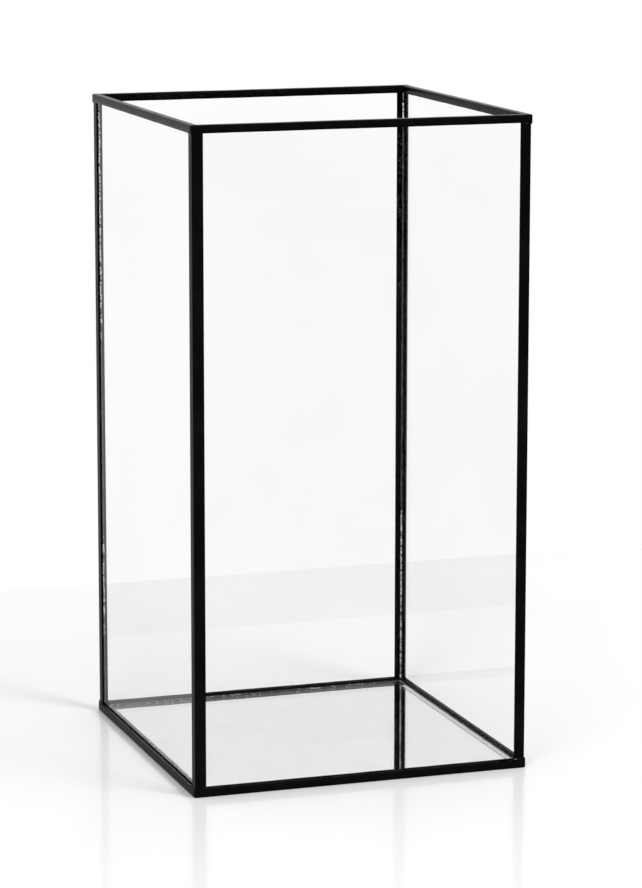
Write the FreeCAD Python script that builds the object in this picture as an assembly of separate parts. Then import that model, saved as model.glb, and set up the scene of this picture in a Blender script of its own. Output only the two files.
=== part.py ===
import FreeCAD, Part
import math
import os

from FreeCAD import Vector

# Tall display box, open at the top: four glass panes in folded steel edging, and a mirror floor.
# All lengths are in millimetres. The origin is on the ground under the middle of the box.
# +X points to the right, +Y to the back and +Z up.

# Overall size
outer_width = 250.0         # left to right, over the rim
outer_depth = 256.0         # front to back, over the rim
outer_height = 472.0        # ground to the top of the rim

# Folded steel edging
steel = 0.8                 # thickness of the strip
fold_inside = 0.2           # inside radius of every fold
post_leg = 8.0              # each leg of a corner post
rim_outer_lip = 5.8         # drop of the rim outside the glass
rim_inner_lip = 5.8         # drop of the rim inside the glass
foot_outer_lip = 6.4        # rise of the foot outside the glass
foot_inner_lip = 6.4        # rise of the foot inside the glass
lap_gap = 0.2               # solder film between a post and the lips that lap over it
solder_leg = 0.8            # leg of the solder fillet where a lip ends on a post

# Glass walls and their sealant
pane_thickness = 3.0
pane_arris = 0.3            # bevel that takes the sharpness off every pane edge
pane_bed = 0.3              # sealant under and over each pane
pane_joint = 0.3            # sealant between the edges of two panes
glue_film = 0.15            # sealant between steel and glass
glazing_recess = 0.4        # how far the glazing strips lie below the lips
glazing_sag = 0.15          # hollow of the tooled surface of a glazing strip
bead_leg = 1.4              # leg of the hollow bead in each inside corner

# Mirror floor
plate_lift = 0.2            # underside of the base plate above the ground
plate_thickness = 0.8
plate_joint = 0.1           # solder film round the base plate
pad_thickness = 0.6         # foam that sticks the mirror down
pad_inset = 3.0             # how far the foam stops short of the mirror's edge
mirror_thickness = 3.0
mirror_arris = 0.3
mirror_joint = 1.5          # width of the sealant round the mirror
seal_rise = 1.2             # how far that sealant climbs the inner lip

# Fits, counted inwards from the outer face of the rim
fold_outside = fold_inside + steel
post_offset = steel + lap_gap
pane_offset = post_offset + steel + glue_film
pane_inner_offset = pane_offset + pane_thickness
inner_lip_offset = pane_inner_offset + glue_film
channel_width = inner_lip_offset + steel
mirror_offset = channel_width + mirror_joint
half_width = outer_width / 2
half_depth = outer_depth / 2

# Heights
seat_height = steel + fold_inside
plate_top = plate_lift + plate_thickness
mirror_bottom = plate_top + pad_thickness
mirror_top = mirror_bottom + mirror_thickness

# Each side: name, turn about Z from the front, length of its run, distance from the middle.
SIDES = (
    ("front", 0, outer_width, half_depth),
    ("right", 90, outer_depth, half_width),
    ("back", 180, outer_width, half_depth),
    ("left", 270, outer_depth, half_width),
)

# Each corner: name, and whether the front left corner is mirrored across X and across Y.
CORNERS = (
    ("front_left", False, False),
    ("front_right", True, False),
    ("back_left", False, True),
    ("back_right", True, True),
)


def section_point(across, height):
    """A point of a rail's section: across runs inwards from the outer face."""
    return Vector(0, across, height)


def plan_point(x, y):
    """A point of a section that is drawn on the ground."""
    return Vector(x, y, 0)


def rounded_face(corners, place):
    """A face with the given corners, each (a, b, radius); place turns (a, b) into a point."""
    points = [Vector(a, b, 0) for a, b, radius in corners]
    stretches = []
    for index, (a, b, radius) in enumerate(corners):
        corner = points[index]
        if radius == 0:
            stretches.append((corner, None, corner))
            continue
        before = (points[index - 1] - corner).normalize()
        after = (points[(index + 1) % len(points)] - corner).normalize()
        half_angle = before.getAngle(after) / 2
        reach = radius / math.tan(half_angle)
        middle = radius / math.sin(half_angle) - radius
        bisector = (before + after).normalize()
        stretches.append((corner + before * reach, corner + bisector * middle, corner + after * reach))
    edges = []
    for index, (start, middle, end) in enumerate(stretches):
        if middle is not None:
            bend = [place(p.x, p.y) for p in (start, middle, end)]
            edges.append(Part.Arc(*bend).toShape())
        following = stretches[(index + 1) % len(stretches)][0]
        edges.append(Part.makeLine(place(end.x, end.y), place(following.x, following.y)))
    return Part.Face(Part.Wire(edges))


def hollow_face(start, end, sag, others, place):
    """A face bounded by a hollow arc from start to end, and by straight lines through others."""
    chord = (end - start).normalize()
    inwards = Vector(-chord.y, chord.x, 0)
    middle = (start + end) * 0.5 + inwards * sag
    edges = [Part.Arc(*[place(p.x, p.y) for p in (start, middle, end)]).toShape()]
    rest = [end] + others + [start]
    for first, second in zip(rest, rest[1:]):
        edges.append(Part.makeLine(place(first.x, first.y), place(second.x, second.y)))
    return Part.Face(Part.Wire(edges))


def run_along(face, length, reach):
    """Extrude a rail's section along the front side, centred, with its outer face at -reach."""
    bar = face.extrude(Vector(length, 0, 0))
    bar.translate(Vector(-length / 2, -reach, 0))
    return bar


def mitre(bar, length, reach, depth):
    """Cut both ends of a front bar at 45 degrees, from the outer corners inwards."""
    half = length / 2
    plan = Part.makePolygon([
        Vector(-half, -reach, 0),
        Vector(half, -reach, 0),
        Vector(half - depth, -reach + depth, 0),
        Vector(-half + depth, -reach + depth, 0),
        Vector(-half, -reach, 0),
    ])
    return bar.common(Part.Face(plan).extrude(Vector(0, 0, outer_height)))


def round_corners(bar):
    """Take the upright outer corners of the box off a rail, as the fold rounds the others."""
    plan = rounded_face([
        (-half_width, -half_depth, fold_outside),
        (half_width, -half_depth, fold_outside),
        (half_width, half_depth, fold_outside),
        (-half_width, half_depth, fold_outside),
    ], plan_point)
    return bar.common(plan.extrude(Vector(0, 0, outer_height)))


def turned(shape, angle):
    """The shape turned about the upright axis of the box."""
    copy = shape.copy()
    copy.rotate(Vector(0, 0, 0), Vector(0, 0, 1), angle)
    return copy


def at_corner(shape, across_x, across_y):
    """A front left piece carried to another corner of the box."""
    if across_x:
        shape = shape.mirror(Vector(0, 0, 0), Vector(1, 0, 0))
    if across_y:
        shape = shape.mirror(Vector(0, 0, 0), Vector(0, 1, 0))
    return shape


def upside_down(shape):
    """A piece of the foot turned over to become a piece of the rim."""
    return shape.mirror(Vector(0, 0, outer_height / 2), Vector(0, 0, 1))


def channel_face(outer_lip, inner_lip):
    """Section of a channel that opens upwards: outer lip, web on the ground, inner lip."""
    return rounded_face([
        (0, 0, fold_outside),
        (channel_width, 0, fold_outside),
        (channel_width, inner_lip, 0),
        (inner_lip_offset, inner_lip, 0),
        (inner_lip_offset, steel, fold_inside),
        (steel, steel, fold_inside),
        (steel, outer_lip, 0),
        (0, outer_lip, 0),
    ], section_point)


def channel(length, reach, outer_lip, inner_lip):
    """A mitred channel along the front side, opening upwards."""
    bar = run_along(channel_face(outer_lip, inner_lip), length, reach)
    return mitre(bar, length, reach, channel_width)


def post():
    """The front left corner post, an angle between the webs of the foot and the rim."""
    face = rounded_face([
        (0, 0, fold_outside),
        (post_leg, 0, 0),
        (post_leg, steel, 0),
        (steel, steel, fold_inside),
        (steel, post_leg, 0),
        (0, post_leg, 0),
    ], plan_point)
    angle = face.extrude(Vector(0, 0, outer_height - 2 * seat_height))
    angle.translate(Vector(post_offset - half_width, post_offset - half_depth, seat_height))
    return angle


def slab(size_x, size_y, size_z, bottom, bevel):
    """A plate centred on the upright axis, with all its edges bevelled."""
    plate = Part.makeBox(size_x, size_y, size_z, Vector(-size_x / 2, -size_y / 2, bottom))
    if bevel > 0:
        plate = plate.makeChamfer(bevel, plate.Edges)
    return plate


def pane(length, reach):
    """A pane of the front side; length is its width."""
    bottom = steel + pane_bed
    sheet = slab(length, pane_thickness, outer_height - 2 * bottom, bottom, pane_arris)
    sheet.translate(Vector(0, pane_offset + pane_thickness / 2 - reach, 0))
    return sheet


def pane_length(name):
    """The front and back panes cover the edges of the side panes."""
    if name in ("front", "back"):
        return outer_width - 2 * pane_offset
    return outer_depth - 2 * (pane_inner_offset + pane_joint)


def glazing_strip(length, reach, outer_lip):
    """Sealant between the outer lip and the pane of a front channel, from post to post."""
    top = outer_lip - glazing_recess
    face = hollow_face(
        Vector(pane_offset, top, 0),
        Vector(steel, top, 0),
        glazing_sag,
        [Vector(steel, seat_height, 0), Vector(pane_offset, seat_height, 0)],
        section_point,
    )
    return run_along(face, length - 2 * (post_offset + post_leg), reach)


def corner_bead():
    """Hollow bead in the front left inside corner, with a tongue between the two panes."""
    bottom = foot_inner_lip
    height = outer_height - rim_inner_lip - bottom
    quarter_round_sag = bead_leg * (1 - math.sqrt(0.5))
    face = hollow_face(
        Vector(bead_leg, 0, 0),
        Vector(0, bead_leg, 0),
        quarter_round_sag,
        [Vector(0, 0, 0)],
        plan_point,
    )
    bead = face.extrude(Vector(0, 0, height))
    tongue_length = pane_thickness - pane_arris
    tongue = Part.makeBox(tongue_length, pane_joint, height, Vector(-tongue_length, 0, 0))
    bead = bead.fuse(tongue).removeSplitter()
    bead.translate(Vector(pane_inner_offset - half_width, pane_inner_offset - half_depth, bottom))
    return bead


def solder_fillet(height):
    """Fillet round the front left post, on the edge of a lip that ends at this height."""
    surface = Vector(0, 0, 0)
    lip_side = Vector(-solder_leg, 0, 0)
    post_side = Vector(0, solder_leg, 0)
    face = hollow_face(post_side, lip_side, solder_leg / 8, [surface], section_point)
    straight = post_leg - fold_outside
    along_x = face.extrude(Vector(straight, 0, 0))
    along_x.translate(Vector(fold_outside, 0, 0))
    bend_axis = Vector(fold_outside, fold_outside, 0)
    bend_face = face.copy()
    bend_face.translate(Vector(fold_outside, 0, 0))
    bend = bend_face.revolve(bend_axis, Vector(0, 0, 1), -90)
    along_y = along_x.mirror(Vector(0, 0, 0), Vector(1, -1, 0))
    fillet = along_x.fuse([bend, along_y]).removeSplitter()
    fillet.translate(Vector(post_offset - half_width, post_offset - half_depth, height))
    return fillet


def mirror_seal(length, reach):
    """Sealant between the mirror and the inner lip of the front foot rail, mitred."""
    face = hollow_face(
        Vector(mirror_offset, mirror_top, 0),
        Vector(channel_width, mirror_top + seal_rise, 0),
        seal_rise / 8,
        [Vector(channel_width, plate_top, 0), Vector(mirror_offset, plate_top, 0)],
        section_point,
    )
    return mitre(run_along(face, length, reach), length, reach, mirror_offset)


def floor_plate(inset, thickness, bottom, bevel=0):
    """A plate of the floor that stops short of the outer faces of the rim by inset."""
    return slab(outer_width - 2 * inset, outer_depth - 2 * inset, thickness, bottom, bevel)


def build_nodes():
    """Every piece of the box by its node name."""
    nodes = {
        "base_plate": floor_plate(channel_width + plate_joint, plate_thickness, plate_lift),
        "mirror_pad": floor_plate(mirror_offset + pad_inset, pad_thickness, plate_top),
        "mirror": floor_plate(mirror_offset, mirror_thickness, mirror_bottom, mirror_arris),
    }
    for name, angle, length, reach in SIDES:
        foot = channel(length, reach, foot_outer_lip, foot_inner_lip)
        rim = upside_down(channel(length, reach, rim_outer_lip, rim_inner_lip))
        rim_strip = upside_down(glazing_strip(length, reach, rim_outer_lip))
        nodes["foot_" + name] = round_corners(turned(foot, angle))
        nodes["rim_" + name] = round_corners(turned(rim, angle))
        nodes["pane_" + name] = turned(pane(pane_length(name), reach), angle)
        nodes["foot_glazing_" + name] = turned(glazing_strip(length, reach, foot_outer_lip), angle)
        nodes["rim_glazing_" + name] = turned(rim_strip, angle)
        nodes["mirror_seal_" + name] = turned(mirror_seal(length, reach), angle)
    for name, across_x, across_y in CORNERS:
        rim_solder = upside_down(solder_fillet(rim_outer_lip))
        nodes["post_" + name] = at_corner(post(), across_x, across_y)
        nodes["corner_bead_" + name] = at_corner(corner_bead(), across_x, across_y)
        nodes["foot_solder_" + name] = at_corner(solder_fillet(foot_outer_lip), across_x, across_y)
        nodes["rim_solder_" + name] = at_corner(rim_solder, across_x, across_y)
    return nodes


os.makedirs("parts", exist_ok=True)
for node, shape in build_nodes().items():
    shape.exportStep(os.path.join("parts", node + ".step"))
    print(node, len(shape.Solids), "solid", round(shape.Volume, 3), "mm3", shape.isValid())
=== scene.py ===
import math

import bmesh
import bpy
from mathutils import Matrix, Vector, noise


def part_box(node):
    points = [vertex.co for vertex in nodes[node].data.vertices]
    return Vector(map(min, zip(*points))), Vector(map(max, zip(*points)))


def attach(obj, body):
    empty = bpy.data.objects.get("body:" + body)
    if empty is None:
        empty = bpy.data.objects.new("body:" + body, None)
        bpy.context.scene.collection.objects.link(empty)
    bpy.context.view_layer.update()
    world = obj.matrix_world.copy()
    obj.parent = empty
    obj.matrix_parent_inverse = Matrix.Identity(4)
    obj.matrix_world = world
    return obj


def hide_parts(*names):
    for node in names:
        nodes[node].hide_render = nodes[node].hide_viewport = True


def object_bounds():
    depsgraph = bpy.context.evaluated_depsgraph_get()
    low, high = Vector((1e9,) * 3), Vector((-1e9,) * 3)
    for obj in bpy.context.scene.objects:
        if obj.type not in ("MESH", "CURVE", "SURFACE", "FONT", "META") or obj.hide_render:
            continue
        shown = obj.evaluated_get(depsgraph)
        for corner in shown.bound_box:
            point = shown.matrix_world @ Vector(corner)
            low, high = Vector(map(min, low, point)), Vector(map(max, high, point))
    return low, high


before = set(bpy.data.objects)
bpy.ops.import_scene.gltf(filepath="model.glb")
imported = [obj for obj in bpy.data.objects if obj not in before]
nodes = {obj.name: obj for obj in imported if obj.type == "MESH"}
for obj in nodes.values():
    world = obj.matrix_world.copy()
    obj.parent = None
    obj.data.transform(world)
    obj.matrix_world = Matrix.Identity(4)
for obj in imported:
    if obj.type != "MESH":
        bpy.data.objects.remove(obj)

# An open-topped glass display box with folded black edging and a mirror floor. The rails, the hand-laid
# sealant and solder, and the foam are modelled here, on the places of the CAD nodes that they replace.
# The other CAD nodes keep their shapes. All lengths are in metres.

cad_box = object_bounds()
low, high = (Vector(corner) for corner in cad_box)
middle = (low + high) / 2
scene = bpy.context.scene
SIDES = ("front", "right", "back", "left")
CORNERS = ("front_left", "front_right", "back_left", "back_right")
MM = 0.001
CLEARANCE = 0.02 * MM       # keeps the scene's own pieces off the faces that they lie on
STEEL = 0.8 * MM            # sheet of the folded channels
FOLD_INSIDE = 0.2 * MM      # radius inside each fold
CORNER_ROUND = 2.2 * MM     # rounding of the filed and soldered rail corners
SOLDER_OFFSET = 0.25 * MM   # from the middle of a solder run to the post and the lip that it joins
SEAM_INSET = 0.6 * MM       # where a rail's soldered seam starts, inwards from its web
FOAM_GAP = 0.06 * MM        # keeps the foam's top apart from the silvering
GLASS_IOR = 1.12            # set well below real glass's 1.5: in the photo the panes hardly reflect

# Places taken from the frame; each offset is counted inwards from the outer face of the box
foot_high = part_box("foot_front")[1]
rim_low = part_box("rim_front")[0]
mirror_low, mirror_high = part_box("mirror")
pane_low, pane_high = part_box("pane_front")
side_pane_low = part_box("pane_left")[0]
pad_low, pad_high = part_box("mirror_pad")
post_low, post_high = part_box("post_front_left")
channel_width = foot_high[1] - low.y
foot_top = foot_high[2]
rim_bottom = rim_low[2]
mirror_top = mirror_high[2]
mirror_offset = mirror_low[0] - low.x
pane_inner_offset = pane_high[1] - low.y
pane_thickness = pane_high[1] - pane_low[1]
pane_joint = side_pane_low[1] - pane_high[1]
post_offset = post_low[0] - low.x
post_leg = post_high[0] - post_low[0]


# ---- Material helpers ----------------------------------------------------------------------


def new_material(name):
    """A material with an empty node tree and its output node."""
    material = bpy.data.materials.new(name)
    material.use_nodes = True
    material.node_tree.nodes.clear()
    output = material.node_tree.nodes.new("ShaderNodeOutputMaterial")
    return material, material.node_tree, output


def add(tree, kind, **inputs):
    """A shader node; each input is named in words joined by _, such as Base_Color."""
    node = tree.nodes.new(kind)
    for key, value in inputs.items():
        socket = node.inputs[key.replace("_", " ")]
        if isinstance(value, bpy.types.NodeSocket):
            tree.links.new(value, socket)
        else:
            socket.default_value = value
    return node


def object_coordinates(tree):
    return tree.nodes.new("ShaderNodeTexCoord").outputs["Object"]


def cloud(tree, scale, detail=3.0, roughness=0.5, stretch=(1, 1, 1)):
    """Noise over the object, from 0 to 1; stretch lengthens it along an axis."""
    mapping = add(tree, "ShaderNodeMapping", Vector=object_coordinates(tree))
    mapping.inputs["Scale"].default_value = [1 / s for s in stretch]
    texture = add(tree, "ShaderNodeTexNoise", Vector=mapping.outputs[0], Scale=scale,
                  Detail=detail, Roughness=roughness)
    return texture.outputs["Fac"]


def ramp(tree, value, from_low, from_high, to_low, to_high):
    """Map value from from_low..from_high to to_low..to_high, held at both ends."""
    node = add(tree, "ShaderNodeMapRange", Value=value)
    node.inputs["From Min"].default_value = from_low
    node.inputs["From Max"].default_value = from_high
    node.inputs["To Min"].default_value = to_low
    node.inputs["To Max"].default_value = to_high
    return node.outputs["Result"]


def scattered(tree, scale):
    """A random level for each small cell of the surface."""
    cells = add(tree, "ShaderNodeTexVoronoi", Vector=object_coordinates(tree), Scale=scale)
    split = add(tree, "ShaderNodeSeparateColor", Color=cells.outputs["Color"])
    return split.outputs["Red"]


def combine(tree, operation, *values):
    """The values joined by one Math operation, such as MULTIPLY."""
    result = values[0]
    for value in values[1:]:
        node = tree.nodes.new("ShaderNodeMath")
        node.operation = operation
        tree.links.new(result, node.inputs[0])
        tree.links.new(value, node.inputs[1])
        result = node.outputs[0]
    return result


def height_bands(tree, bands):
    """1 within each (bottom, top) band of heights, with ragged ends, and 0 elsewhere."""
    split = add(tree, "ShaderNodeSeparateXYZ", Vector=object_coordinates(tree))
    ragged = ramp(tree, cloud(tree, 90, 4), 0.3, 0.7, -0.03, 0.03)
    place = combine(tree, "ADD", split.outputs["Z"], ragged)
    insides = []
    for bottom, top in bands:
        rising = ramp(tree, place, bottom, bottom + 0.01, 0, 1)
        falling = ramp(tree, place, top - 0.01, top, 1, 0)
        insides.append(combine(tree, "MULTIPLY", rising, falling))
    return combine(tree, "MAXIMUM", *insides)


def tint(tree, share, first, second):
    """A colour between two others; each is red, green and blue, or a socket."""
    node = tree.nodes.new("ShaderNodeMix")
    node.data_type = "RGBA"
    tree.links.new(share, node.inputs["Factor"])
    for socket, colour in ((node.inputs["A"], first), (node.inputs["B"], second)):
        if isinstance(colour, bpy.types.NodeSocket):
            tree.links.new(colour, socket)
        else:
            socket.default_value = (*colour, 1)
    return node.outputs["Result"]


def blend(tree, share, first, second):
    """A shader between two others; share may be a number or a socket."""
    node = tree.nodes.new("ShaderNodeMixShader")
    if isinstance(share, bpy.types.NodeSocket):
        tree.links.new(share, node.inputs[0])
    else:
        node.inputs[0].default_value = share
    tree.links.new(first, node.inputs[1])
    tree.links.new(second, node.inputs[2])
    return node.outputs[0]


def bump(tree, height, distance, strength=1.0):
    """A surface normal roughened by height; distance is how deep it goes."""
    node = add(tree, "ShaderNodeBump", Height=height, Strength=strength, Distance=distance)
    return node.outputs["Normal"]


def grey(level):
    return (level, level, level)


def dress(material, *objects):
    """Give objects this material in place of any other."""
    for thing in objects:
        thing.data.materials.clear()
        thing.data.materials.append(material)


# ---- Materials -----------------------------------------------------------------------------


def black_paint(name, sheen, lump, smears=(), worn=0.0):
    """Satin black paint: fine orange peel, slow waves of the strip under it, and rubbed patches.

    sheen is the paint's specular level; smears are the height bands with dots of cured sealant, and
    worn is how far the metal shows through in small spots."""
    material, tree, output = new_material(name)
    peel = cloud(tree, 900, 2)
    waves = cloud(tree, 60, 3, stretch=(1, 1, 4))
    rubbed = cloud(tree, 35, 5, 0.6)
    colour = tint(tree, ramp(tree, rubbed, 0.45, 0.75, 0, 1), grey(0.0022), grey(0.0045))
    coarse = bump(tree, waves, lump)
    fine = add(tree, "ShaderNodeBump", Height=peel, Strength=0.3, Distance=0.00002, Normal=coarse)
    shader = add(tree, "ShaderNodeBsdfPrincipled", Base_Color=colour,
                 Roughness=ramp(tree, rubbed, 0.3, 0.7, 0.2, 0.3), Specular_IOR_Level=sheen,
                 Normal=fine.outputs["Normal"])
    surface = shader.outputs[0]
    if worn:
        metal = add(tree, "ShaderNodeBsdfPrincipled", Base_Color=(*grey(0.75), 1), Metallic=1.0,
                    Roughness=0.25, Normal=coarse)
        bare = ramp(tree, scattered(tree, 900), 0.93, 0.95, 0, worn)
        surface = blend(tree, bare, surface, metal.outputs[0])
    if smears:
        where = height_bands(tree, smears)
        dots = ramp(tree, scattered(tree, 760), 0.65, 0.9, 0, 0.6)
        pale = add(tree, "ShaderNodeBsdfPrincipled", Base_Color=(*grey(0.09), 1), Roughness=0.4)
        share = combine(tree, "MULTIPLY", where, dots)
        surface = blend(tree, share, surface, pale.outputs[0])
    tree.links.new(surface, output.inputs["Surface"])
    return material


def glass(name, colour, smear):
    """Float glass with a hint of waviness and a faint film of wiping marks."""
    material, tree, output = new_material(name)
    film = cloud(tree, 14, 6, 0.65, stretch=(1, 1, 2))
    waves = cloud(tree, 6, 1)
    haze = ramp(tree, cloud(tree, 7, 5, 0.6), 0.35, 0.65, 0, 1)
    shaded = tint(tree, haze, [level - 0.012 for level in colour], [level + 0.008 for level in colour])
    shader = add(tree, "ShaderNodeBsdfPrincipled", Base_Color=shaded,
                 Roughness=ramp(tree, film, 0.5, 0.8, 0.0, smear),
                 IOR=GLASS_IOR, Transmission_Weight=1.0, Normal=bump(tree, waves, 0.0002))
    clear = add(tree, "ShaderNodeBsdfTransparent", Color=(*colour, 1))
    path = tree.nodes.new("ShaderNodeLightPath")
    mixed = blend(tree, path.outputs["Is Shadow Ray"], shader.outputs[0], clear.outputs[0])
    tree.links.new(mixed, output.inputs["Surface"])
    return material


def silver(name):
    """The silvering on the back of the mirror, with a few faint clouds."""
    material, tree, output = new_material(name)
    spots = cloud(tree, 22, 6, 0.6)
    colour = tint(tree, ramp(tree, spots, 0.5, 0.75, 0, 1), grey(0.85), grey(0.8))
    shader = add(tree, "ShaderNodeBsdfPrincipled", Base_Color=colour, Metallic=1.0,
                 Roughness=ramp(tree, spots, 0.4, 0.8, 0.01, 0.05))
    tree.links.new(shader.outputs[0], output.inputs["Surface"])
    return material


def clear_silicone(tree, lumps):
    """The shader of clear cured silicone."""
    node = add(tree, "ShaderNodeBsdfPrincipled", Base_Color=(*grey(0.8), 1), Roughness=0.12, IOR=1.3,
               Transmission_Weight=1.0, Normal=bump(tree, lumps, 0.00015))
    return node.outputs[0]


def clear_bead_sealant(name):
    """The clear sides of a bead, with a few dark specks."""
    material, tree, output = new_material(name)
    specks = add(tree, "ShaderNodeBsdfPrincipled", Base_Color=(*grey(0.02), 1), Roughness=0.3)
    share = ramp(tree, scattered(tree, 500), 0.6, 0.7, 0.35, 0.8)
    clear = clear_silicone(tree, cloud(tree, 500, 2))
    tree.links.new(blend(tree, share, clear, specks.outputs[0]), output.inputs["Surface"])
    return material


def bead_sealant(name, *pale_bands):
    """The crest of a bead, full of bubbles and lumps; it goes white and grainy in each height band."""
    material, tree, output = new_material(name)
    pale = height_bands(tree, pale_bands)
    grains = scattered(tree, 750)
    lumps = cloud(tree, 700, 3)
    clear = clear_silicone(tree, lumps)
    white = add(tree, "ShaderNodeBsdfPrincipled", Base_Color=tint(tree, grains, grey(0.4), grey(0.95)),
                Roughness=0.35, Normal=bump(tree, lumps, 0.0003))
    grainy = ramp(tree, grains, 0.2, 0.4, 0, 1)
    share = ramp(tree, combine(tree, "MULTIPLY", pale, grainy), 0, 1, 0.12, 0.95)
    tree.links.new(blend(tree, share, clear, white.outputs[0]), output.inputs["Surface"])
    return material


def floor_sealant(name, level, clearness):
    """Cured clear silicone on the mirror: grey streaks along its run, and fine white bubbles."""
    material, tree, output = new_material(name)
    bubbles = ramp(tree, scattered(tree, 900), 0.9, 0.95, 0, 1)
    clouds = cloud(tree, 300, 5, 0.65, stretch=(3, 3, 1))
    body = tint(tree, ramp(tree, clouds, 0.3, 0.7, 0, 1), grey(level * 0.8), grey(level * 1.25))
    cloudy = add(tree, "ShaderNodeBsdfPrincipled", Base_Color=body, Roughness=0.35)
    white = add(tree, "ShaderNodeBsdfPrincipled", Base_Color=(*grey(0.85), 1), Roughness=0.4)
    clear = add(tree, "ShaderNodeBsdfPrincipled", Base_Color=(*grey(0.85), 1), Roughness=0.1, IOR=1.41,
                Transmission_Weight=1.0, Normal=bump(tree, clouds, 0.0002))
    share = ramp(tree, clouds, 0.35, 0.6, 1.0 - clearness, 1.0 - clearness / 2)
    surface = blend(tree, share, clear.outputs[0], cloudy.outputs[0])
    tree.links.new(blend(tree, bubbles, surface, white.outputs[0]), output.inputs["Surface"])
    return material


def black_silicone(name):
    """The dark sealant of the hidden glazing strips, and of the mirror's seals against the lips."""
    material, tree, output = new_material(name)
    lumps = cloud(tree, 300, 3)
    shader = add(tree, "ShaderNodeBsdfPrincipled",
                 Base_Color=tint(tree, lumps, grey(0.006), grey(0.015)), Roughness=0.45,
                 Specular_IOR_Level=0.2, Normal=bump(tree, lumps, 0.0002))
    tree.links.new(shader.outputs[0], output.inputs["Surface"])
    return material


def foam(name):
    material, tree, output = new_material(name)
    cells = cloud(tree, 1500, 2)
    shader = add(tree, "ShaderNodeBsdfPrincipled", Base_Color=tint(tree, cells, grey(0.6), grey(0.78)),
                 Roughness=0.9, Normal=bump(tree, cells, 0.0001))
    tree.links.new(shader.outputs[0], output.inputs["Surface"])
    return material


rim_paint = black_paint("rim_paint", 0.029, 0.00008)
frame_paint = black_paint("frame_paint", 0.022, 0.00008)
smeared_paint = black_paint("smeared_paint", 0.022, 0.00008, [(0.36, 0.44), (0.3, 0.33)])
solder_paint = black_paint("painted_solder", 0.1, 0.0003, worn=0.3)
pane_glass = glass("pane_glass", (0.974, 0.98, 0.977), 0.02)
# Painted light: a lighter, clearer copy of the pane glass, so that the view through the left pane
# renders brighter.
brighter_left_glass = glass("brighter_pane_glass", (0.995, 0.997, 0.996), 0.01)
mirror_glass = glass("mirror_glass", (0.985, 0.99, 0.988), 0.02)
mirror_silver = silver("mirror_silver")
clear_bead = clear_bead_sealant("clear_bead")
toe_sealant = floor_sealant("toe_sealant", 0.08, 0.1)
glazing_sealant = black_silicone("glazing_sealant")

for side in SIDES:
    dress(pane_glass, nodes["pane_" + side])
    dress(glazing_sealant, nodes["rim_glazing_" + side], nodes["foot_glazing_" + side])
# Painted light: the left pane gets the lighter copy of the pane glass.
dress(brighter_left_glass, nodes["pane_left"])
for corner in CORNERS:
    dress(frame_paint, nodes["post_" + corner])
dress(frame_paint, nodes["base_plate"])

# Sealant is smeared on the inside of one post.
smeared_post = nodes["post_back_right"]
smeared_post.data.materials.append(smeared_paint)
for polygon in smeared_post.data.polygons:
    if min(polygon.normal.x, polygon.normal.y) < -0.9:
        polygon.material_index = 1

# The mirror is clear glass with its silvering on the underside.
mirror = nodes["mirror"]
dress(mirror_glass, mirror)
mirror.data.materials.append(mirror_silver)
for polygon in mirror.data.polygons:
    if polygon.normal.z < -0.9:
        polygon.material_index = 1


# ---- Rails, sealant, solder and foam -------------------------------------------------------


def loft(name, runs, material, slot, *replaced):
    """One piece of closed lofts: each run is a list of rings of points, capped at both ends."""
    shape = bmesh.new()
    for rings in runs:
        loops = [[shape.verts.new(point) for point in ring] for ring in rings]
        for first, second in zip(loops, loops[1:]):
            for index in range(len(first)):
                after = (index + 1) % len(first)
                shape.faces.new((first[index], first[after], second[after], second[index]))
        for cap in (list(reversed(loops[0])), loops[-1]):
            for edge in shape.faces.new(cap).edges:
                edge.smooth = False
    bmesh.ops.recalc_face_normals(shape, faces=shape.faces)
    for face in shape.faces:
        face.smooth = len(face.verts) == 4
    mesh = bpy.data.meshes.new(name)
    shape.to_mesh(mesh)
    shape.free()
    piece = bpy.data.objects.new(name, mesh)
    scene.collection.objects.link(piece)
    mesh.materials.append(material)
    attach(piece, "root")
    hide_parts(*replaced)
    return piece


def recolour(piece, around, strips, material_index):
    """Give lengthwise strips of a lofted piece another material; around is the points of a ring."""
    for polygon in piece.data.polygons:
        if len(polygon.vertices) == 4 and polygon.index % around in strips:
            polygon.material_index = material_index


def waver(seed, place, pitch, octaves=3):
    """A smooth uneven value from about -1 to 1 along a run; pitch is the length of one wave."""
    total = 0.0
    for octave in range(octaves):
        spot = Vector((place / pitch * 2 ** octave, seed * 7.3, octave * 3.1))
        total += noise.noise(spot) / 1.6 ** octave
    return total


def at_corner(corner, across_x, across_y, height):
    """A point counted inwards from a corner of the box."""
    x = low.x + across_x if corner.endswith("left") else high.x - across_x
    y = low.y + across_y if corner.startswith("front") else high.y - across_y
    return Vector((x, y, height))


def side_length(side, box_low, box_high):
    """Length of one side of a box in plan."""
    axis = 0 if side in ("front", "back") else 1
    return box_high[axis] - box_low[axis]


def at_side(side, along, across, height):
    """A point counted along a side from its middle, and inwards from its outer face."""
    if side == "front":
        return Vector((middle.x + along, low.y + across, height))
    if side == "back":
        return Vector((middle.x - along, high.y - across, height))
    if side == "right":
        return Vector((high.x - across, middle.y + along, height))
    return Vector((low.x + across, middle.y - along, height))


def channel_section(height):
    """Outline of a folded channel with its web at the bottom, as (across, level) points."""
    fold = FOLD_INSIDE + STEEL
    nip = 0.15 * MM
    points = []
    for centre, start in ((fold, 1.0), (channel_width - fold, 1.5)):
        for step in range(6):
            angle = math.pi * (start + 0.5 * step / 5)
            points.append((centre + fold * math.cos(angle), fold + fold * math.sin(angle)))
    inside = channel_width - STEEL
    points += [(channel_width, height - nip), (channel_width - nip, height)]
    points += [(inside + nip, height), (inside, height - nip), (inside, fold)]
    points += [(channel_width - fold, STEEL), (fold, STEEL), (STEEL, fold)]
    points += [(STEEL, height - nip), (STEEL - nip, height), (nip, height), (0, height - nip)]
    return points


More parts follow.
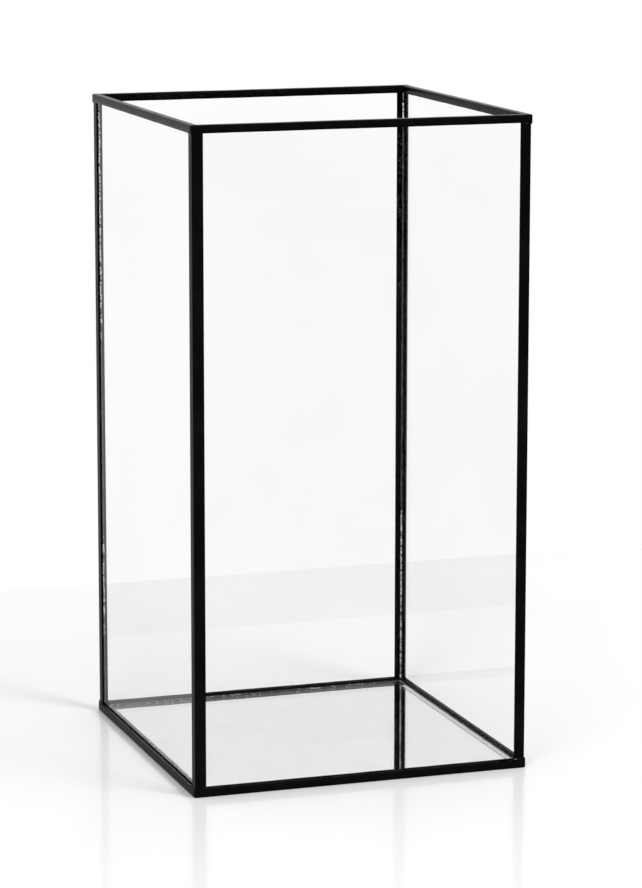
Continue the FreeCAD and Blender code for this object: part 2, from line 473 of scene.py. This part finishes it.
def rail(kind, side, material, seed):
    """A hand-folded rail, a little wavy, with mitred ends rounded over at the corner of the box."""
    half = side_length(side, low, high) / 2
    straight = half - CORNER_ROUND
    height = foot_top - low.z if kind == "foot" else high.z - rim_bottom
    section = channel_section(height)
    count = int(2 * straight / (4 * MM))
    turns = [math.pi / 4 * step / 4 for step in range(1, 5)]
    stations = [(-1, -straight, turn) for turn in reversed(turns)]
    stations += [(1, straight * (2 * step / count - 1), 0) for step in range(count + 1)]
    stations += [(1, straight, turn) for turn in turns]
    rings = []
    for end, place, turn in stations:
        fade = 1 - abs(place / straight) ** 6
        bow = 0.07 * MM * max(1 + waver(seed, place, 70 * MM), 0) * fade
        dip = 0.07 * MM * max(1 + waver(seed + 3, place, 45 * MM), 0) * fade
        ragged = 0.10 * MM * max(1 + waver(seed + 6, place, 20 * MM), 0) * fade
        ring = []
        for across, level in section:
            along = place
            left = CORNER_ROUND - across
            if turn and left > 0:
                along = end * (straight + left * math.sin(turn))
                across = CORNER_ROUND - left * math.cos(turn)
            elif turn:
                along = end * (straight + left * math.tan(turn))
            if level > height / 2:
                level -= ragged
            world_level = low.z + level if kind == "foot" else high.z - level - dip
            ring.append(at_side(side, along, across + bow, world_level))
        rings.append(ring)
    loft(f"{kind}_rail_{side}", [rings], material, "black_steel", f"{kind}_{side}")


def corner_bead(corner, seed, size, pale_bands):
    """A bead in an inside corner, lumpy where the gun stopped, with a tongue in the joint."""
    start, end = foot_top + CLEARANCE, rim_bottom - CLEARANCE
    tongue = pane_thickness - 0.3 * MM
    joint = pane_joint - CLEARANCE
    steps = int((end - start) / (0.5 * MM))
    rings = []
    for step in range(steps + 1):
        height = start + (end - start) * step / steps
        slow = 0.25 * waver(seed, height, 18 * MM)
        quick = 0.35 * waver(seed + 5, height, 2.4 * MM, 2)
        reach = max(0.5 * MM, size * (1 + slow + quick))
        hollow = 0.45 * reach
        section = [(-tongue, CLEARANCE), (reach, CLEARANCE)]
        for part in range(1, 5):
            angle = math.pi / 2 * part / 5
            section.append((reach - hollow * math.sin(angle), reach - hollow * math.cos(angle)))
        section += [(CLEARANCE, reach), (CLEARANCE, joint), (-tongue, joint)]
        ring = []
        for x, y in section:
            ring.append(at_corner(corner, pane_inner_offset + x, pane_inner_offset + y, height))
        rings.append(ring)
    piece = loft("sealant_" + corner, [rings], clear_bead, "clear_sealant", "corner_bead_" + corner)
    piece.data.materials.append(bead_sealant("crest_sealant_" + corner, *pale_bands))
    recolour(piece, len(rings[0]), (2, 3, 4, 5), 1)


def mirror_seal(side, lap, rise, seed, level, clearness):
    """Sealant in the joint round the mirror, up the inner lip and over the glass, with a dark toe."""
    length = side_length(side, low, high)
    lip = channel_width + CLEARANCE
    face = mirror_top + CLEARANCE
    edge = mirror_offset - CLEARANCE
    toe = 0.45 * MM
    steps = int(length / (1.2 * MM))
    rings = []
    for step in range(steps + 1):
        share = 2 * step / steps - 1
        place = share * length / 2
        width = mirror_offset - channel_width + lap * (1 + 0.12 * waver(seed, place, 24 * MM))
        height = rise * (1 + 0.15 * waver(seed + 3, place, 30 * MM))
        ring = [(lip, face + height)]
        for part in range(1, 7):
            across = part / 7
            ring.append((lip + (width - toe) * across, face + height * (1 - across) ** 2.2))
        ring += [(lip + width - toe, face + 0.1 * MM), (lip + width, face), (edge, face),
                 (edge, mirror_low[2]), (lip, mirror_low[2])]
        points = []
        for across, height_here in ring:
            along = share * (length / 2 - across)
            points.append(at_side(side, along, across, height_here))
        rings.append(points)
    material = floor_sealant("mirror_sealant_" + side, level, clearness)
    piece = loft("sealant_" + side, [rings], material, "clear_sealant", "mirror_seal_" + side)
    piece.data.materials.append(toe_sealant)
    piece.data.materials.append(glazing_sealant)
    recolour(piece, len(rings[0]), (6, 7), 1)
    recolour(piece, len(rings[0]), (0, 1), 2)


def round_rings(path, radii, tall):
    """Rings of eight points round a path; tall stretches the rings of a level path upwards."""
    rings = []
    for index, spot in enumerate(path):
        before, after = path[max(index - 1, 0)], path[min(index + 1, len(path) - 1)]
        along = (after - before).normalized()
        side = along.cross(Vector((0, 0, 1)))
        if side.length < 0.5:
            side = Vector((1, 0, 0))
        up = side.cross(along)
        ring = []
        for part in range(8):
            angle = 2 * math.pi * part / 8
            ring.append(spot + (side * math.cos(angle) + up * tall * math.sin(angle)) * radii[index])
        rings.append(ring)
    return rings


def solder_run(edge, seed):
    """Rings of the solder along a lip's edge, round both sides of a post and thickest at its corner."""
    bend = 1.0 * MM
    offset = post_offset - SOLDER_OFFSET
    reach = post_leg + post_offset
    steps = 22
    half_run = []
    for step in range(steps + 1):
        half_run.append((offset + bend + (reach - offset - bend) * (1 - step / steps), offset))
    turn = []
    for step in range(1, 6):
        angle = math.pi / 2 * step / 6
        turn.append((offset + bend - bend * math.sin(angle), offset + bend - bend * math.cos(angle)))
    other_half = [(y, x) for x, y in reversed(half_run)]
    path = [Vector((x, y, edge)) for x, y in half_run + turn + other_half]
    middle_index = len(path) / 2
    radii = []
    for index in range(len(path)):
        swell = 1 + 0.35 * waver(seed, index * 0.4 * MM, 1.6 * MM)
        swell += 0.5 * math.exp(-((index - middle_index) / 4) ** 2)
        radii.append(0.4 * MM * (0.35 if index in (0, len(path) - 1) else swell))
    return round_rings(path, radii, 1.3)


def solder_seam(edge, web, seed):
    """Rings of the solder down a rail's corner, from its web to its lip's edge."""
    inset = CORNER_ROUND * (1 - math.cos(math.pi / 4)) + 0.12 * MM
    levels = [web + (edge - web) * step / 12 for step in range(13)]
    path = [Vector((inset, inset, level)) for level in levels]
    radii = []
    for index in range(len(levels)):
        ends = 0.6 if index in (0, len(levels) - 1) else 1.0
        radii.append(0.34 * MM * ends * (1 + 0.3 * waver(seed, index * 0.5 * MM, 1.5 * MM)))
    return round_rings(path, radii, 1.0)


def solder(corner, kind, seed):
    """Lumpy solder: a run along the lip's edge round the post, and a seam down the rail's corner."""
    if kind == "foot":
        edge = foot_top + SOLDER_OFFSET
        web = low.z + SEAM_INSET
    else:
        edge = rim_bottom - SOLDER_OFFSET
        web = high.z - SEAM_INSET
    runs = []
    for rings in (solder_run(edge, seed), solder_seam(edge, web, seed + 11)):
        placed = []
        for ring in rings:
            inside = [(max(p.x, CLEARANCE), max(p.y, CLEARANCE), p.z) for p in ring]
            placed.append([at_corner(corner, *point) for point in inside])
        runs.append(placed)
    loft(f"solder_{kind}_{corner}", runs, solder_paint, "solder", f"{kind}_solder_{corner}")


def foam_sheet():
    """The thin foam under the mirror, cut by hand, a hair clear of the silvering."""
    top = pad_high[2] - FOAM_GAP
    across = pad_low[0] - low.x
    steps = 60
    rings = []
    for level in (pad_low[2] + CLEARANCE, (pad_low[2] + top) / 2, top):
        ring = []
        for side_index, side in enumerate(SIDES):
            half = side_length(side, pad_low, pad_high) / 2
            for step in range(steps):
                share = 2 * step / steps - 1
                uneven = 0.5 * MM * (1 + waver(side_index, share, 0.2)) * (1 - share ** 8)
                ring.append(at_side(side, share * half, across + uneven, level))
        rings.append(ring)
    loft("foam_sheet", [rings], foam("white_foam"), "foam", "mirror_pad")


BEADS = {                   # size of each bead, and the heights between which it looks white
    "front_left": (1.0 * MM, [(0.05, 0.2), (0.3, 0.42)]),
    "front_right": (1.0 * MM, [(0.1, 0.3)]),
    "back_left": (1.4 * MM, [(0.07, 0.13), (0.29, 0.48)]),
    "back_right": (1.0 * MM, [(0.0, 0.14), (0.44, 0.48)]),
}
# The grey level differs from side to side; the whitish right seal is a painted highlight along the
# mirror's edge.
SEALS = {                   # lap over the glass, rise on the lip, seed, grey level and clearness
    "front": (2.0 * MM, 0.5 * MM, 61, 0.2, 0.5),
    "right": (0.25 * MM, 0.2 * MM, 62, 0.7, 0.4),
    "back": (2.8 * MM, 0.35 * MM, 63, 0.07, 0.2),
    "left": (2.4 * MM, 0.35 * MM, 64, 0.04, 0.1),
}
for seed, corner in enumerate(CORNERS):
    corner_bead(corner, seed, *BEADS[corner])
    solder(corner, "foot", seed + 20)
    solder(corner, "rim", seed + 40)
for seed, side in enumerate(SIDES):
    rail("foot", side, frame_paint, seed + 80)
    rail("rim", side, rim_paint, seed + 90)
for side in SIDES:
    mirror_seal(side, *SEALS[side])
foam_sheet()


# ---- Stage ---------------------------------------------------------------------------------

TABLE_BACK = 0.541          # where the table ends behind the box
TABLE_REACH = 3.0           # how far it runs in front and to the sides
REAR_STRIP = 0.350          # where the table's rear strip starts; it is painted greyer, as painted shade, to rays through glass
FRONT_STRIP = -0.135        # in front of this, the table is painted near black to mirrored rays, a painted reflection of a dark room
AMBIENT = 0.63              # level of the light from all round
LAMP_DISTANCE = 4.4         # from the middle of the box
LAMPS = {                   # azimuth, elevation, size and power
    "right_softbox": (33, 38, 1.5, 70),
    "low_right_softbox": (40, 28, 1.7, 36),
    "left_softbox": (-36, 58, 0.9, 34),
}


def white_table():
    """Glossy white laminate. Its rear strip is painted greyer to rays through glass (painted shade),
    and the table is painted darker to mirrored rays, most of all in front of the box (painted
    reflection)."""
    material, tree, output = new_material("white_table")
    grain = cloud(tree, 3, 2)
    split = add(tree, "ShaderNodeSeparateXYZ", Vector=object_coordinates(tree))
    path = tree.nodes.new("ShaderNodeLightPath")
    rear = ramp(tree, split.outputs["Y"], REAR_STRIP - 0.004, REAR_STRIP + 0.004, 0, 1)
    in_front = ramp(tree, split.outputs["Y"], FRONT_STRIP - 0.06, FRONT_STRIP, 1, 0)
    after_gloss = ramp(tree, path.outputs["Glossy Depth"], 0, 1, 0, 1)
    no_scatter = ramp(tree, path.outputs["Diffuse Depth"], 0, 1, 1, 0)
    mirrored = combine(tree, "MULTIPLY", after_gloss, no_scatter)
    mirrored_front = combine(tree, "MULTIPLY", in_front, mirrored)
    # Painted shade: the rear strip is coloured grey only to rays that come through glass, and a touch
    # whiter than the rest of the table otherwise.
    strip = tint(tree, path.outputs["Is Transmission Ray"], grey(1.0), grey(0.92))
    colour = tint(tree, rear, grey(0.985), strip)
    # Painted reflection: mirrored rays see the table coloured darker, and near black in front of the
    # box, as if a dark room were reflected there.
    colour = tint(tree, mirrored, colour, grey(0.75))
    colour = tint(tree, mirrored_front, colour, grey(0.12))
    diffuse = add(tree, "ShaderNodeBsdfDiffuse", Color=colour)
    sharp = add(tree, "ShaderNodeBsdfAnisotropic", Color=(1, 1, 1, 1),
                Roughness=ramp(tree, grain, 0, 1, 0.06, 0.09))
    broad = add(tree, "ShaderNodeBsdfAnisotropic", Color=(1, 1, 1, 1), Roughness=0.3)
    gloss = blend(tree, 0.4, broad.outputs[0], sharp.outputs[0])
    fresnel = add(tree, "ShaderNodeFresnel", IOR=1.42)
    surface = blend(tree, fresnel.outputs[0], diffuse.outputs[0], gloss)
    tree.links.new(surface, output.inputs["Surface"])
    return material


def add_floor():
    """A table top that ends behind the box, and runs on in front and to the sides."""
    mesh = bpy.data.meshes.new("table_top")
    left, right, front = -TABLE_REACH, TABLE_REACH, -TABLE_REACH
    corners = [(left, front, 0), (right, front, 0), (right, TABLE_BACK, 0), (left, TABLE_BACK, 0)]
    mesh.from_pydata(corners, [], [(0, 1, 2, 3)])
    floor = bpy.data.objects.new("table_top", mesh)
    scene.collection.objects.link(floor)
    mesh.materials.append(white_table())


def add_world():
    """White to the camera and straight through glass; mirrored rays see a dark low front; a softer
    level lights the rest."""
    world = bpy.data.worlds.new("studio")
    scene.world = world
    world.use_nodes = True
    world.cycles.sampling_method = "NONE"
    tree = world.node_tree
    tree.nodes.clear()
    output = tree.nodes.new("ShaderNodeOutputWorld")
    path = tree.nodes.new("ShaderNodeLightPath")
    direction = tree.nodes.new("ShaderNodeTexCoord")
    split = add(tree, "ShaderNodeSeparateXYZ", Vector=direction.outputs["Generated"])
    towards_back = ramp(tree, split.outputs["Y"], -0.8, 0.1, 0, 1)
    upwards = ramp(tree, split.outputs["Z"], 0.0, 0.1, 0, 1)
    pale = combine(tree, "MAXIMUM", towards_back, upwards)
    mirrored = add(tree, "ShaderNodeBackground", Color=tint(tree, pale, grey(0.05), grey(1)),
                   Strength=ramp(tree, split.outputs["Z"], -0.12, 0.0, 0.93, 1))
    plain = add(tree, "ShaderNodeBackground", Color=(1, 1, 1, 1))
    ambient = add(tree, "ShaderNodeBackground", Color=(*grey(AMBIENT), 1))
    reflected = ramp(tree, path.outputs["Glossy Depth"], 0, 1, 0, 1)
    scattered_light = ramp(tree, path.outputs["Diffuse Depth"], 0, 1, 0, 1)
    seen = blend(tree, reflected, plain.outputs[0], mirrored.outputs[0])
    surface = blend(tree, scattered_light, seen, ambient.outputs[0])
    tree.links.new(surface, output.inputs["Surface"])


def away_from_middle(azimuth, elevation):
    """A unit vector away from the middle of the box, in degrees; azimuth 0 is the front."""
    turn, rise = math.radians(azimuth), math.radians(elevation)
    flat = math.cos(rise)
    return Vector((math.sin(turn) * flat, -math.cos(turn) * flat, math.sin(rise)))


def add_softbox(name, azimuth, elevation, size, power):
    """A square lamp that faces the middle of the box."""
    away = away_from_middle(azimuth, elevation)
    lamp = bpy.data.lights.new(name, "AREA")
    lamp.size = size
    lamp.energy = power
    holder = bpy.data.objects.new(name, lamp)
    holder.location = middle + away * LAMP_DISTANCE
    holder.rotation_euler = away.to_track_quat("Z", "Y").to_euler()
    # Its light passes the glass as shadow rays, so the lamp itself is hidden in and behind glass.
    holder.visible_transmission = False
    holder.visible_glossy = False
    scene.collection.objects.link(holder)


def add_camera():
    """A long lens, a little to the left and above, level with no roll."""
    distance = 2.6156
    back = away_from_middle(-18.53, 10.38)
    camera = bpy.data.cameras.new("camera")
    camera.lens = 144.7
    camera.shift_x = 0.0173
    camera.shift_y = -0.0206
    camera.clip_end = 50
    holder = bpy.data.objects.new("camera", camera)
    holder.location = middle + back * distance
    holder.rotation_euler = back.to_track_quat("Z", "Y").to_euler()
    scene.collection.objects.link(holder)
    scene.camera = holder


add_floor()
add_world()
for name, settings in LAMPS.items():
    add_softbox(name, *settings)
add_camera()
scene.view_settings.view_transform = "Standard"
